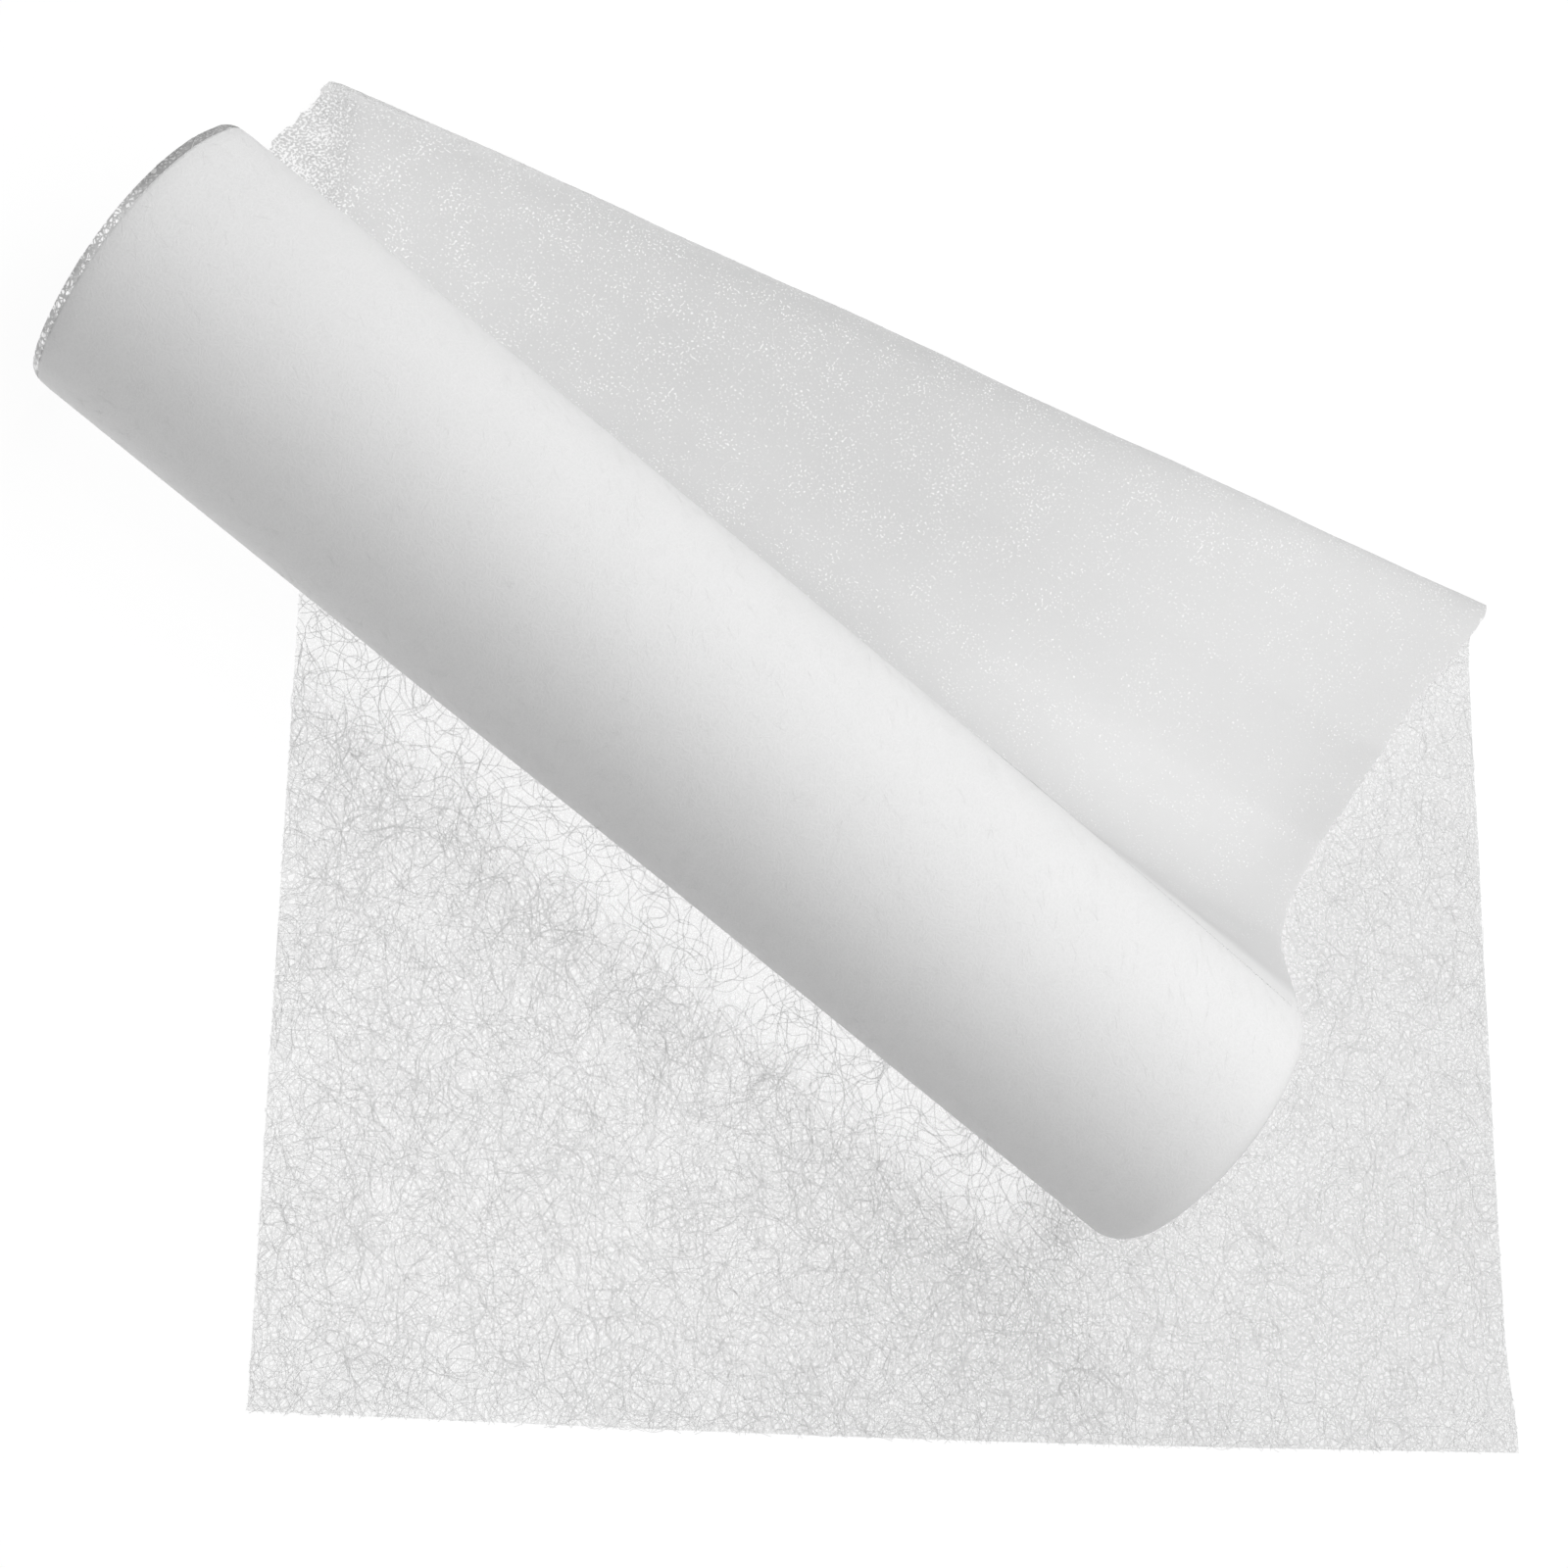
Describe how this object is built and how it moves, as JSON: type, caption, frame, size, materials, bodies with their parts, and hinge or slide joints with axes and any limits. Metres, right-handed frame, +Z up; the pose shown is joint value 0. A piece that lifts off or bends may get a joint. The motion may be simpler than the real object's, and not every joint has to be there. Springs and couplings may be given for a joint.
{
  "type": "roll of fusible interfacing",
  "caption": "Soft white nonwoven web wound in a plain roll; its loose end falls to the table, turns back in a slanting loop and runs out flat beneath the roll.",
  "frame": {"origin": "on the table plane, under the middle of the roll's length and its axis", "axes": "+X along the roll, towards the end that lies on the sheet; +Y towards the side where the web parts from the roll; +Z up"},
  "size_m": [0.4277, 0.3458, 0.0693],
  "materials": {
    "white_web": "soft matt white web, many turns thick",
    "sheer_web": "soft matt white web of loose fibres, one layer, see-through"
  },
  "bodies": {
    "root": {"wound_roll": "white_web", "loose_end": "sheer_web"}
  },
  "joints": []
}
